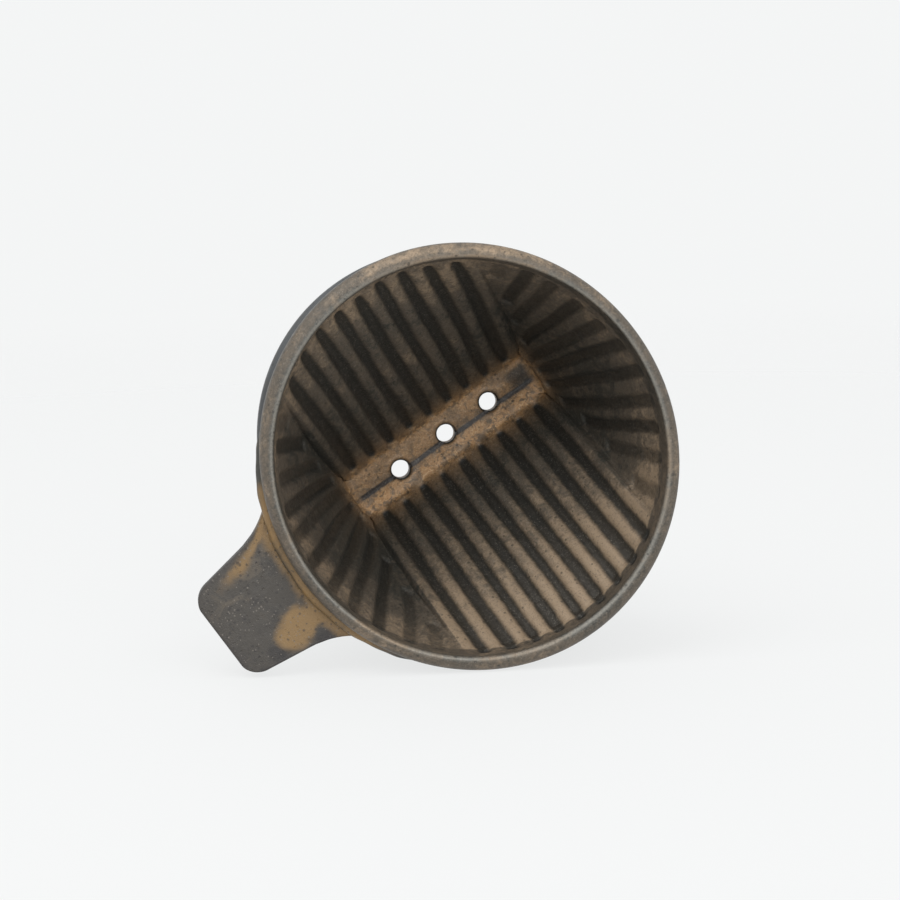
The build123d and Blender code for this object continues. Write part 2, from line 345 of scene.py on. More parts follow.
def column_plan():
    """For each column round the wall: its kind, the signs of its quarter, and its place p along
    that stretch."""
    parts = []
    for kind, sx, sy, start, stop, count in (
            (END, 1, 1, -1, 1, END_COLUMNS),
            (SHOULDER, 1, 1, 0, 1, SHOULDER_COLUMNS),
            (FLAT, 1, 1, 1, -1, FLAT_COLUMNS),
            (SHOULDER, -1, 1, 1, 0, SHOULDER_COLUMNS),
            (END, -1, 1, 1, -1, END_COLUMNS),
            (SHOULDER, -1, -1, 0, 1, SHOULDER_COLUMNS),
            (FLAT, 1, -1, -1, 1, FLAT_COLUMNS),
            (SHOULDER, 1, -1, 1, 0, SHOULDER_COLUMNS)):
        p = start + (stop - start) * np.arange(count) / count
        parts.append(np.stack([np.full(count, value) for value in (kind, sx, sy)] + [p]))
    return np.concatenate(parts, axis=1)


def ellipse_at(form, level):
    """Half lengths of a wall's ellipse, which grow evenly from its base to its mouth."""
    share = (level - form["floor"]) / (FLUTE_TOP - form["floor"])
    share = np.maximum(share, 0) if form["upright"] else share
    return [form["base"] + (mouth - form["base"]) * share for mouth in form["mouth"]]


def flat_wall(form, x, ruled):
    """Distance of a flat wall from the middle plane: the ruled share of the way from a straight
    line on the floor to the mouth's ellipse."""
    mouth = form["mouth"][1] * np.sqrt(1 - (x / form["mouth"][0]) ** 2)
    return form["half"] + (mouth - form["half"]) * ruled


def wall_section(plan, level, form):
    """Points of a wall at each level: an ellipse at the ends, two flat walls ruled from a straight
    line to the mouth's ellipse, and shoulders at 45 degrees between them."""
    kind, sx, sy, p = plan
    a, b = ellipse_at(form, level)
    ruled = np.maximum((level - FLOOR_EDGE) / (FLUTE_TOP - FLOOR_EDGE), 0)
    reach = form["reach"]
    edge_y = flat_wall(form, reach, ruled)
    # The shoulder's run solves a quadratic: where its 45 degree line meets the ellipse
    k2 = 1 / a ** 2 + 1 / b ** 2
    k1 = 2 * (reach / a ** 2 + edge_y / b ** 2)
    k0 = reach ** 2 / a ** 2 + edge_y ** 2 / b ** 2 - 1
    run = (-k1 + np.sqrt(np.maximum(k1 ** 2 - 4 * k2 * k0, 0))) / (2 * k2)
    run = np.maximum(run, LEAST_RUN_HIGH * smooth_step(0.2, 0.9, ruled))
    run = np.maximum(run, LEAST_RUN)
    limit = np.arccos(np.clip((reach + run) / a, -1, 1))
    end_x, end_y = a * np.cos(limit * p), b * np.sin(limit * p)
    shoulder_x = reach + run * (1 - p)
    on_ellipse = b * np.sqrt(np.maximum(1 - (shoulder_x / a) ** 2, 0))
    shoulder_y = np.minimum(edge_y + (shoulder_x - reach), on_ellipse)
    flat_x = reach * p + 0 * level
    flat_y = flat_wall(form, flat_x, ruled)
    x = np.where(kind == END, sx * end_x, np.where(kind == SHOULDER, sx * shoulder_x, flat_x))
    y = np.where(kind == END, end_y, sy * np.where(kind == SHOULDER, shoulder_y, flat_y))
    return x, y


def valley(y):
    """Level of the slot floor, which falls from both sides to the crease."""
    side = np.where(y > CREASE_Y, FLOOR_HALF - CREASE_Y, FLOOR_HALF + CREASE_Y)
    share = np.clip(np.abs(y - CREASE_Y) / side, 0, 1)
    return FLOOR_LEVEL + FLOOR_RISE * share ** 0.85


def fan_starts(form):
    """Angles of the end-wall flutes and the level where each one leaves the shoulder, by halving
    the interval."""
    angles = FAN_STEP * np.arange(-FANS_EACH_SIDE, FANS_EACH_SIDE + 1)
    low, high = np.full(len(angles), FLOOR_EDGE), np.full(len(angles), FLUTE_TOP)
    for _ in range(HALVINGS):
        level = (low + high) / 2
        a, b = ellipse_at(form, level)
        x, y = a * np.cos(angles), b * np.sin(np.abs(angles))
        inside_x = np.minimum(x, FLAT_HALF)
        ruled = (level - FLOOR_EDGE) / (FLUTE_TOP - FLOOR_EDGE)
        behind = y > flat_wall(form, inside_x, ruled) + (x - inside_x)
        low, high = np.where(behind, level, low), np.where(behind, high, level)
    return angles, low


INSIDE = {"floor": FLOOR_LEVEL, "base": SLOT_HALF, "mouth": MOUTH, "half": FLOOR_HALF,
          "reach": FLAT_HALF, "upright": False}
OUTSIDE = {"floor": FLOOR_LEVEL, "base": BASE_RADIUS, "mouth": WALL_TOP,
           "half": FLOOR_HALF + FLAT_WALL, "reach": FLAT_HALF_OUT, "upright": True}


def flute_reach(lateral, start, stop, z, half, slant):
    """Distance of each point from a flute's middle line, whose ends are round: the hypotenuse of
    the distance across and the distance past either end."""
    past = np.maximum(start - z, z - stop) * slant
    return np.hypot(lateral, np.maximum(past + half, 0))


def flute_field(x, y, z, flat):
    """How deep in a flute each wall point lies, 0 to 1, on the flat walls and on the end walls: a
    soft step on the distance to each flute's middle line, which wanders by slow sines."""
    half = sizes().flute_width / MM / 2
    slope = (MOUTH[1] - FLOOR_HALF) / (FLUTE_TOP - FLOOR_EDGE)
    k = np.clip(np.round(x / FLUTE_PITCH), -FLUTES_EACH_SIDE, FLUTES_EACH_SIDE)
    side = np.sign(y)
    start = FLOOR_EDGE + 0.3 + 0.4 * np.sin(k * 2.3 + side)
    stop = FLUTE_TOP - 0.6 + 0.5 * np.sin(k * 1.7 + 2 * side) + FLUTE_EXTRA * (y > 0)
    lateral = x - k * FLUTE_PITCH + 0.14 * np.sin(z / 8.5 + k + side)
    reach = flute_reach(lateral, start, stop, z, half, math.hypot(1, slope))
    width = half * (1 + 0.08 * np.sin(k * 3.1 + z / 17 + side))
    width = width * (1 - 0.22 * smooth_step(stop - TAPER_RUN, stop, z))
    width = width * (0.8 + 0.2 * smooth_step(start, start + TAPER_RUN, z))
    straight = 1 - smooth_step(width - FLUTE_SOFT[0], width + FLUTE_SOFT[1], reach)
    theta, radius = np.arctan2(y, np.abs(x)), np.hypot(x, y)
    fan_half = sizes().fan_share * FAN_STEP * radius / 2
    end = np.sign(x)
    fan = np.zeros_like(x)
    for number, (angle, first) in enumerate(zip(*fan_starts(INSIDE))):
        first = first + 1.2 + 0.5 * math.sin(number * 2.1)
        hook = 1.5 * np.exp(-(z - first) / 3.5) * np.sign(angle)
        lean = 0.012 * np.sin(number * 1.9 + end)
        lateral = radius * (theta - angle - lean) + np.clip(hook, -1.6, 1.6)
        lateral = lateral + 0.2 * np.sin(z / 7 + number * 1.3 + end)
        last = FLUTE_TOP - 1.6 + 1.2 * np.sin(number * 1.3 + end)
        last = last + FAN_EXTRA * smooth_step(-10, 20, y)
        reach = flute_reach(lateral, first, last, z, fan_half, FAN_SLANT)
        strength = 1 - 0.35 * smooth_step(0.6, 0.8, abs(angle))
        strength = strength - 0.10 * (1 + math.sin(number * 2.7))
        near = 1 - smooth_step(fan_half - FAN_SOFT[0], fan_half + FAN_SOFT[1], reach)
        fan = np.maximum(fan, strength * near)
    return straight * flat, fan * ~flat


def inner_wall(plan):
    """The inside wall from the slot floor to the top of the flute zone, with its flutes pressed in
    along the wall's normal, and its masks."""
    flat = plan[0] == FLAT
    y0 = wall_section(plan, np.full((1, plan.shape[1]), FLOOR_EDGE), INSIDE)[1]
    foot = np.where(np.abs(y0) > FLOOR_HALF - 0.05, FLOOR_EDGE, valley(y0))
    share = np.linspace(0, 1, WALL_ROWS)[:, None]
    z = foot + (FLUTE_TOP - foot) * share
    x, y = wall_section(plan, z, INSIDE)
    points = np.stack([x, y, z], axis=-1)
    # The corners between flat wall and shoulder are worn soft
    off_edge = np.abs(x) - FLAT_HALF
    worn = bell(off_edge, 0, EDGE_WEAR) * (np.abs(y) > FLOOR_HALF) * smooth_step(0, 0.08, share)
    for _ in range(WEAR_PASSES):
        beside = (np.roll(points, 1, axis=1) + points * 2 + np.roll(points, -1, axis=1)) / 4
        points[..., :2] += (beside - points)[..., :2] * worn[..., None]
    normals = grid_normals(points, True)
    normals = normals * np.sign((normals[..., :2] * points[..., :2]).sum(-1, keepdims=True))
    # Flutes, a low ridge along each corner, a collar of clay over the floor, and slow waves
    straight, fan = flute_field(x, y, z, flat)
    above, up = z - FLOOR_EDGE, (z - FLOOR_EDGE) / (FLUTE_TOP - FLOOR_EDGE)
    depth = straight * sizes().flute_depth / MM + fan * sizes().fan_depth / MM
    depth = depth - RIDGE * (bell(off_edge, -0.4, 0.8) * smooth_step(20, 24, z) * flat)
    depth = depth - COLLAR * (bell(above, 1.5, 1.3) * ~flat)
    depth = depth + WALL_WAVE * ripple(points, 26, 5)
    fade = smooth_step(0, 0.012, share) * (1 - smooth_step(0.985, 1, share))
    points = points + normals * (depth * fade)[..., None]
    # Lighter going up, painted light on the +Y side (which faces up as the dripper lies), darker on
    # the end walls, with a pale line at the top
    painted_light_plus_y = smooth_step(-10, 45, y) * np.where(flat, 1, 0.5)
    tone = 0.15 + 0.28 * up + 0.50 * painted_light_plus_y * smooth_step(0.05, 0.75, up)
    tone = tone - 0.20 * smooth_step(10, 50, -x) - (0.03 + 0.17 * (x > 0)) * ~flat
    tone = tone + 0.32 * bell(up, 0.93, 0.15) * (1 - 0.5 * painted_light_plus_y)
    masks = {
        "groove": np.maximum(straight, FAN_SHADE * fan),
        "tone": tone,
        "gold": np.exp(-np.maximum(above, 0) / 2.6) * np.where(flat, 1, 0.9),
        "crease": bell(off_edge, -0.4, 0.7) * (plan[0] == SHOULDER) * 0.2,
    }
    return points, masks


def lip_rings(plan, mouth_angle):
    """The band above the flutes, the lip and the top of the outside: ellipses between the mouth's
    line and the lip's, at the shares and levels of one rounded profile."""
    turn = np.linspace(0, math.pi / 2, 9)
    band = [(LIP_INNER * (1 - math.exp(-rise / 1.8)), FLUTE_TOP + rise)
            for rise in np.linspace(0.5, 8.1, BAND_ROWS)]
    crown = [(LIP_INNER + (LIP_PEAK - LIP_INNER) * (1 - math.cos(t)),
              LIP_TOP - INNER_ROUND + INNER_ROUND * math.sin(t)) for t in turn]
    outer = [(LIP_PEAK + (1 - LIP_PEAK) * math.sin(t),
              LIP_TOP - OUTER_ROUND + OUTER_ROUND * math.cos(t)) for t in turn[1:]]
    side = [(1.0, LIP_TOP - 3.8), (LIP_OUTER, LIP_BOTTOM + 1.1)]
    under = [(LIP_OUTER - 0.09 * (1 - math.cos(t)),
              LIP_BOTTOM + UNDER_ROUND - UNDER_ROUND * math.sin(t)) for t in turn]
    neck = [(WALL_SHARE, LIP_BOTTOM - 0.35), (WALL_SHARE, LIP_BOTTOM - 1.5)]
    profile = np.array(band + crown + outer + side + under + neck)
    w, z = profile[:, 0, None], profile[:, 1, None]
    a, b = MOUTH[0] + w * LIP_REACH[0], MOUTH[1] + w * LIP_REACH[1]
    points = np.stack([a * np.cos(mouth_angle), b * np.sin(mouth_angle),
                       z + 0 * mouth_angle], axis=-1)
    # The flutes run on into the band and fade out below the lip
    straight, fan = flute_field(points[..., 0], points[..., 1], points[..., 2], plan[0] == FLAT)
    in_band = np.arange(len(z))[:, None] < BAND_ROWS
    open_wall = (1 - smooth_step(FLUTE_TOP + 5.5, FLUTE_TOP + 7.5, z)) * in_band
    pressed = np.maximum(straight, FAN_SHADE * fan) * open_wall
    away = points[..., :2] / np.linalg.norm(points[..., :2], axis=-1, keepdims=True)
    points[..., :2] += away * (pressed * BAND_SHARE * sizes().flute_depth / MM)[..., None]
    swell = ripple(points, 60, 9, 2) * LIP_WAVE
    points[..., 2] += swell * smooth_step(LIP_BOTTOM, LIP_TOP, points[..., 2])
    # The lip mask marks the crest by the inner shoulder, where pale grey is laid as a painted
    # highlight
    crest = bell(w, 0.27, 0.10) * smooth_step(LIP_TOP - 1.6, LIP_TOP - 0.3, z)
    side_on = smooth_step(LIP_PEAK, 0.62, w) * smooth_step(LIP_TOP - 3.4, LIP_TOP - 1.6, z)
    inner_side = 1 - smooth_step(0.13, 0.3, w)
    inner_side = inner_side * (1 - smooth_step(LIP_TOP - 1.6, LIP_TOP - 0.4, z))
    # Painted light where the lip faces up as the dripper lies: lighter on the inner side at +Y and
    # on the outer face at -Y
    painted_light_plus_y = smooth_step(-10, 45, points[..., 1])
    painted_light_minus_y = smooth_step(5, 45, -points[..., 1])
    corner = bell(z - LIP_TOP, -1.0, 0.7) * inner_side
    masks = {
        "groove": np.maximum(pressed, 0.55 * corner),
        "tone": 0.22 + (0.20 + 0.10 * painted_light_minus_y) * side_on + 0.24 * inner_side * painted_light_plus_y,
        "lip": crest,
    }
    return points, masks


def outer_wall(plan):
    """The outside wall from below the lip down to the saucer, with the slow waves and fine rings
    of a pressed and scraped wall."""
    z = np.linspace(FLUTE_TOP, SAUCER_TOP, OUTSIDE_ROWS)[:, None] + np.zeros(plan.shape[1])
    x, y = wall_section(plan, z, OUTSIDE)
    points = np.stack([x, y, z], axis=-1)
    wave = 0.22 * ripple(points, 34, 21)
    wave = wave + 0.05 * np.sin(z * 1.9 + 0.4 * np.sin(np.arctan2(y, x) * 3))
    away = points * (1, 1, 0)
    away = away / np.linalg.norm(away, axis=-1, keepdims=True)
    inside = smooth_step(SAUCER_TOP, SAUCER_TOP + 4, z)
    inside = inside * (1 - smooth_step(FLUTE_TOP - 3, FLUTE_TOP, z))
    points = points + away * (wave * inside)[..., None]
    return points, {"tone": 0.10 + 0.35 * smooth_step(FLUTE_TOP - 22, FLUTE_TOP, z)}


def cell_loops(plan, first):
    """The vertex numbers round each drain hole's cell of the floor: columns of the perimeter and
    two dividing lines, whose own vertices start at number first."""
    start_plus = END_COLUMNS + SHOULDER_COLUMNS
    start_minus = 2 * END_COLUMNS + 3 * SHOULDER_COLUMNS + FLAT_COLUMNS
    total = plan.shape[1]
    xs = [x for x, _ in DRAINS]
    cuts = [(xs[0] + xs[1]) / 2, (xs[1] + xs[2]) / 2]
    steps = [int(round((FLAT_HALF - cut) * FLAT_COLUMNS / (2 * FLAT_HALF))) for cut in cuts]
    plus = [start_plus + n for n in steps]
    minus = [start_minus + FLAT_COLUMNS - n for n in steps]
    lines = [first + np.arange(LINE_POINTS) + LINE_POINTS * n for n in range(2)]
    right = np.concatenate([np.arange(minus[0], total), np.arange(0, plus[0] + 1), lines[0]])
    middle = np.concatenate([np.arange(plus[0], plus[1] + 1), lines[1],
                             np.arange(minus[1], minus[0] + 1), lines[0][::-1]])
    left = np.concatenate([np.arange(plus[1], minus[1] + 1), lines[1][::-1]])
    return [right, middle, left], list(zip(plus, minus))


def divider(points, ends):
    """Evenly spaced points between two perimeter vertices, the ends left out."""
    share = (np.arange(LINE_POINTS) + 1)[:, None] / (LINE_POINTS + 1)
    return points[ends[0]] * (1 - share) + points[ends[1]] * share


def floor_masks(points):
    """Masks of the slot floor: gold all over, dark in the wandering crease and at its -X end."""
    x, y = points[..., 0], points[..., 1]
    wander = 0.18 * np.sin(x / 5.3) + 0.1 * np.sin(x / 1.9)
    crease = 0.45 * bell(y - CREASE_Y, wander, 1.6)
    dark_end = smooth_step(22, 26, -x) * smooth_step(-1.0, 0.2, CREASE_Y - y)
    dark_end = dark_end * (1 - smooth_step(4.0, 5.5, -y))
    return {"gold": 0.70 + 0.30 * smooth_step(-0.5, 1.5, y - CREASE_Y),
            "crease": np.maximum(crease, 0.9 * dark_end), "tone": 0.35, "slot": 1.0}


def floor_cells(shell, floor_ids, under_ids, floor_row, under_row, plan):
    """The slot floor with its drain holes: in each cell, rings that shrink from the cell's outline
    to the hole's circle along rays from its middle, the hole's wall, and rings out to the
    underside's outline."""
    radius = sizes().drain / MM / 2
    loops, ends = cell_loops(plan, plan.shape[1])
    top_lines, low_lines = (np.concatenate([divider(row, pair) for pair in ends])
                            for row in (floor_row, under_row))
    top_lines[:, 2] = valley(top_lines[:, 1])
    top_numbers = np.concatenate([floor_ids, shell.add(top_lines, floor_masks(top_lines))])
    low_numbers = np.concatenate([under_ids, shell.add(low_lines, {})])
    top_points = np.concatenate([floor_row, top_lines])
    low_points = np.concatenate([under_row, low_lines])
    for loop, centre in zip(loops, DRAINS):
        outline = top_points[loop]
        rays = outline[:, :2] - centre
        circle = centre + radius * (rays / np.linalg.norm(rays, axis=1, keepdims=True))
        share = np.linspace(0, 1, CELL_RINGS + 1)[1:, None, None] ** 0.8
        flat = outline[None, :, :2] * (1 - share) + circle * share
        edge = np.linalg.norm(flat - centre, axis=-1) - radius
        # Slow waves, a raised burr round the hole, and the glaze's fall into it
        z = valley(flat[..., 1])
        z = z + FLOOR_WAVE * ripple(np.dstack([flat, z]), 7, 3) * smooth_step(0.4, 2, edge)
        z = z + BURR * bell(edge, 0.9, 0.5) - FALL * np.exp(-edge / 0.25)
        rings = np.dstack([flat, z])
        masks = floor_masks(rings) | {"groove": bell(edge, 0, 0.55)}
        ids = np.vstack([top_numbers[loop], shell.add(rings, masks)])
        shell.span(ids)
        levels = np.linspace(FLOOR_LEVEL - 0.3, SAUCER_TOP, HOLE_ROWS + 1)[:, None, None]
        bore = np.concatenate([np.broadcast_to(circle, (HOLE_ROWS + 1, *circle.shape)),
                               np.broadcast_to(levels, (HOLE_ROWS + 1, len(loop), 1))], axis=-1)
        bore_ids = shell.add(bore, {"tone": 0.2, "gold": 0.5})
        shell.span(np.vstack([ids[-1], bore_ids]))
        share = np.linspace(0, 1, UNDER_RINGS + 2)[1:-1, None, None]
        under = np.dstack([circle * (1 - share) + low_points[loop][None, :, :2] * share,
                           np.full((UNDER_RINGS, len(loop)), SAUCER_TOP)])
        shell.span(np.vstack([bore_ids[-1], shell.add(under, {}), low_numbers[loop]]))


def build_bowl(material):
    """The fluted bowl as one closed surface: floor cells, inside wall, lip rings, outside wall and
    underside."""
    plan = column_plan()
    shell = Shell(("groove", "tone", "gold", "crease", "lip", "slot"))
    wall, wall_masks = inner_wall(plan)
    mouth_angle = np.arctan2(wall[-1, :, 1] / MOUTH[1], wall[-1, :, 0] / MOUTH[0])
    outside, outside_masks = outer_wall(plan)
    ids = np.vstack([shell.add(wall, wall_masks), shell.add(*lip_rings(plan, mouth_angle)),
                     shell.add(outside, outside_masks)])
    shell.span(ids, -1)
    floor_cells(shell, ids[0], ids[-1], wall[0], outside[-1], plan)
    shell.build("glazed_bowl", material, ("fluted_bowl",))


# ---------------------------------------------------------------- saucer and foot

def stadium(angle, half_length, radius):
    """Points of a slot with round ends where rays at each angle leave it."""
    c, s = np.cos(angle), np.sin(angle)
    straight = radius / np.maximum(np.abs(s), 1e-6)
    root = np.maximum(radius ** 2 - (half_length * s) ** 2, 0)
    round_end = half_length * np.abs(c) + np.sqrt(root)
    reach = np.where(straight * np.abs(c) <= half_length, straight, round_end)
    return np.stack([reach * c, reach * s], axis=-1)


def build_saucer(material):
    """The saucer: rings between its slot and its rim, with rounded edges, a flat top that drops at
    the slot, and slow waves near the rim."""
    thick = SAUCER_TOP - FOOT_TOP
    angle = np.arange(SAUCER_COLUMNS) * TAU / SAUCER_COLUMNS
    slot = stadium(angle, max(abs(x) for x, _ in DRAINS), SAUCER_SLOT)
    rim = SAUCER_RADIUS * np.stack([np.cos(angle), np.sin(angle)], axis=-1)
    turn = np.linspace(0, math.pi / 2, 7)
    inset = SAUCER_EDGE / SAUCER_RADIUS
    flat = list(np.linspace(0.06, 0.94, 24))
    # Shares of the way out and levels: over the top, round the rim and back under
    shares, levels = [0.0, 0.01] + flat, [-0.6, 0.0] + [0.0] * len(flat)
    shares += [1 - inset * (1 - math.sin(t)) for t in turn]
    levels += [-SAUCER_EDGE * (1 - math.cos(t)) for t in turn]
    shares += [1 - inset * (1 - math.cos(t)) for t in turn]
    levels += [-thick + SAUCER_EDGE * (1 - math.sin(t)) for t in turn]
    shares += flat[::-1] + [0.01, 0.0]
    levels += [-thick] * (len(flat) + 1) + [-thick + 0.6]
    share = np.array(shares)[:, None, None]
    z = SAUCER_TOP + np.array(levels)[:, None] + np.zeros(SAUCER_COLUMNS)
    points = np.dstack([slot * (1 - share) + rim * share, z])
    radius = np.hypot(points[..., 0], points[..., 1])
    wave = 0.14 * ripple(points, 45, 31) * smooth_step(44, 50, radius)
    points[..., 2] = np.minimum(points[..., 2] + wave, SAUCER_TOP + 0.1)
    rim_mask = smooth_step(SAUCER_RADIUS - 3.2, SAUCER_RADIUS - 0.8, radius)
    build_ring("saucer_disc", points, -1, material, ("saucer",), {"edge": rim_mask})


def build_foot(material):
    """The foot ring: one rounded profile turned about the upright axis, with faint throwing
    lines."""
    angle = np.arange(FOOT_COLUMNS) * TAU / FOOT_COLUMNS
    turn = np.linspace(0, math.pi / 2, 5)
    outer, inner = FOOT_RADIUS, FOOT_RADIUS - FOOT_WALL
    profile = [(outer, z) for z in np.linspace(FOOT_TOP, 1.0, 10)]
    profile += [(outer - 0.7 * (1 - math.cos(t)), 0.7 * (1 - math.sin(t))) for t in turn]
    profile += [(inner + 1.2 * (1 - math.sin(t)), 1.2 * (1 - math.cos(t))) for t in turn]
    profile += [(inner, z) for z in np.linspace(1.6, FOOT_TOP, 9)]
    profile = np.array(profile)
    r, z = profile[:, :1], profile[:, 1:] + 0 * angle
    r = r - np.abs(0.06 * np.sin(z * 4.2 + 0.5 * np.sin(angle * 2)) * smooth_step(0, 2, z))
    points = np.stack([r * np.cos(angle), r * np.sin(angle), z], axis=-1)
    build_ring("clay_foot", points, -1, material, ("foot_ring",), {})


def build_saucer_fillet(material):
    """The fillet of slip round the bowl's base: a hollow quarter-round profile carried along the
    base's outline."""
    plan = column_plan()[:, ::4]
    level = np.full((1, plan.shape[1]), SAUCER_TOP)
    line = np.stack(wall_section(plan, level, OUTSIDE), axis=-1)[0]
    tangent = np.roll(line, -2, axis=0) - np.roll(line, 2, axis=0)
    away = np.stack([tangent[:, 1], -tangent[:, 0]], axis=-1)
    away = away / np.linalg.norm(away, axis=1, keepdims=True)
    turn = np.linspace(0, math.pi / 2, 7)
    hollow = [(FILLET_OUT * (1 - math.sin(t)), 0.25 + FILLET_UP * (1 - math.cos(t))) for t in turn]
    profile = [(2.9, -0.1)] + hollow + [(-1.0, 2.9), (-1.0, -0.1)]
    points = np.array([np.column_stack([line + away * out, np.full(len(line), SAUCER_TOP + up)])
                       for out, up in profile])
    points[..., 2] += 0.12 * ripple(points, 12, 44) * (points[..., 2] > SAUCER_TOP + 0.3)
    build_ring("base_fillet", points, 1, material, ("saucer_seam",), {})


# ---------------------------------------------------------------- handle

HANDLE_REACH = corner_mm("handle_tab", True)[0] - 0.15
HANDLE_END_HALF = 13.4
HANDLE_ROOT_HALF = 16.0
HANDLE_CORNER = 4.6
HANDLE_FLARE = 22.0
HANDLE_ROOT_CENTRE = 8.0
HANDLE_ROOT_RADIUS = LIP_X - 5.24
HANDLE_TURN = math.radians(1.2)
HANDLE_ROOT_X = 41.0
PATCH_PLACE = (64.6, 11.2)
BLOT_PLACE = (60.6, 17.6)

# Rolls of slip: height over the tab, half sweep in degrees, and how far the ends sink
SEAM_RISE, SEAM_SWEEP, SEAM_DIVE = 0.7, 46, 1.6
UNDER_DROP, UNDER_SWEEP, UNDER_DIVE = 0.4, 38, 0.7
UNDER_SHARE = 0.9


def handle_half_width(x):
    """Half width of the tab at each distance from the axis: root circle, flare arc, slanted side
    line and corner arc."""
    flare_y = HANDLE_ROOT_HALF + HANDLE_FLARE
    both = HANDLE_ROOT_RADIUS + HANDLE_FLARE
    flare_x = HANDLE_ROOT_CENTRE + math.sqrt(both ** 2 - flare_y ** 2)
    meet_x = HANDLE_ROOT_CENTRE + (flare_x - HANDLE_ROOT_CENTRE) * HANDLE_ROOT_RADIUS / both
    circle = np.sqrt(np.maximum(HANDLE_ROOT_RADIUS ** 2 - (x - HANDLE_ROOT_CENTRE) ** 2, 0))
    flare = flare_y - np.sqrt(np.maximum(HANDLE_FLARE ** 2 - (x - flare_x) ** 2, 0))
    slope = (HANDLE_END_HALF - HANDLE_ROOT_HALF) / (HANDLE_REACH - flare_x + 2.5)
    touch_x = flare_x + HANDLE_FLARE * math.sin(math.atan(slope))
    touch_y = flare_y - HANDLE_FLARE * math.cos(math.atan(slope))
    side = touch_y + (x - touch_x) * slope
    into = np.clip(x - (HANDLE_REACH - HANDLE_CORNER), 0, HANDLE_CORNER)
    corner = side - HANDLE_CORNER + np.sqrt(HANDLE_CORNER ** 2 - into ** 2)
    half = np.where(x < meet_x, circle, np.where(x < touch_x, flare, side))
    return np.where(into > 0, corner, half)


def turned(points, angle):
    """Points turned about the upright axis."""
    c, s = math.cos(angle), math.sin(angle)
    x, y = points[..., 0].copy(), points[..., 1].copy()
    points[..., 0], points[..., 1] = c * x - s * y, s * x + c * y
    return points


def edge_drop(distance, radius):
    """How far a rounded edge of this radius has fallen at each distance in from the outline."""
    inside = np.clip(distance / radius, 0, 1)
    return radius * (1 - np.sqrt(1 - (1 - inside) ** 2))


def build_handle(material):
    """The tab: rows from the bowl's wall to the end, columns across, a top and an underside that
    round over towards the outline, with slow waves from the fingers that shaped it."""
    edge = sizes().handle_edge / MM
    v = np.sin(np.linspace(-1, 1, HANDLE_COLUMNS) * math.pi / 2)
    # Rows crowd towards the rounded end
    t = np.linspace(0, 1, HANDLE_ROWS)
    t = t + 0.06 * np.sin(math.pi * t) * (t > 0.5)
    t = np.sort(np.concatenate([t[:-1], 1 - 0.03 * np.linspace(0, 1, 9) ** 2]))[:, None]
    half = handle_half_width(HANDLE_ROOT_X + (HANDLE_REACH - HANDLE_ROOT_X) * t)
    root_half = handle_half_width(np.array(HANDLE_ROOT_X))
    root_x = np.sqrt(((MOUTH[0] + WALL_TOP[0]) / 2) ** 2 - (v * root_half) ** 2)
    x, y = root_x + (HANDLE_REACH - root_x) * t, v * half
    side_gap = half - np.abs(y)
    gap = np.minimum(side_gap, HANDLE_REACH - x)
    middle = (HANDLE_TOP + HANDLE_BOTTOM) / 2
    half_thick = (HANDLE_TOP - HANDLE_BOTTOM) / 2
    flat = np.dstack([x, y, np.full_like(x, middle)])
    wave = 0.22 * ripple(flat, 30, 61) - 0.22
    pillow = -0.35 * np.exp(-gap / 3.0)
    drop = edge_drop(gap, edge)
    top_z = middle + (half_thick - drop + (wave + pillow) * smooth_step(0, edge, gap))
    low_z = middle - half_thick + drop + 0.15 * (1 + ripple(flat, 26, 62)) * (gap > edge)

    def both(top, low):
        """The top's columns and then the underside's, in one round."""
        return np.concatenate([top, low[:, ::-1]], axis=1)

    ring = turned(both(np.dstack([x, y, top_z]), np.dstack([x, y, low_z])), HANDLE_TURN)
    gap, side_gap = both(gap, gap), both(side_gap, side_gap)
    # Tan breaks along the -Y side, in one patch and at the neck, and one dark blot
    px, py = ring[..., 0], ring[..., 1]
    wander = ripple(ring, 9, 71) * 1.3
    strip = bell(side_gap + 0.4 * wander, 3.6, 2.4) * (py < 0) * (1 - smooth_step(66, 79, px))
    patch = np.hypot(px - PATCH_PLACE[0], (py - PATCH_PLACE[1]) * 1.1) + wander * 0.7
    neck = np.hypot(px, py) + wander * 0.5 - 1.4 * smooth_step(2, 16, np.abs(py))
    tan = 0.85 * strip + 0.95 * (1 - smooth_step(4.0, 8.0, patch))
    tan = np.clip(tan + 0.8 * (1 - smooth_step(57.2, 61.0, neck)), 0, 1)
    blot = np.hypot(px - BLOT_PLACE[0], py - BLOT_PLACE[1]) + wander * 0.5
    shell = Shell(("edge", "tan", "ink"))
    ids = shell.add(ring, {"edge": np.exp(-gap / 0.8), "tan": tan,
                           "ink": 1 - smooth_step(1.2, 3.6, blot)})
    shell.span(ids, -1)
    for row, step in ((0, 1), (-1, -1)):
        ends = np.vstack([ids[row, :HANDLE_COLUMNS], ids[row, HANDLE_COLUMNS:][::-1]])
        shell.span(ends, step, wrap=False)
    shell.build("handle_slab", material, ("handle_tab",))


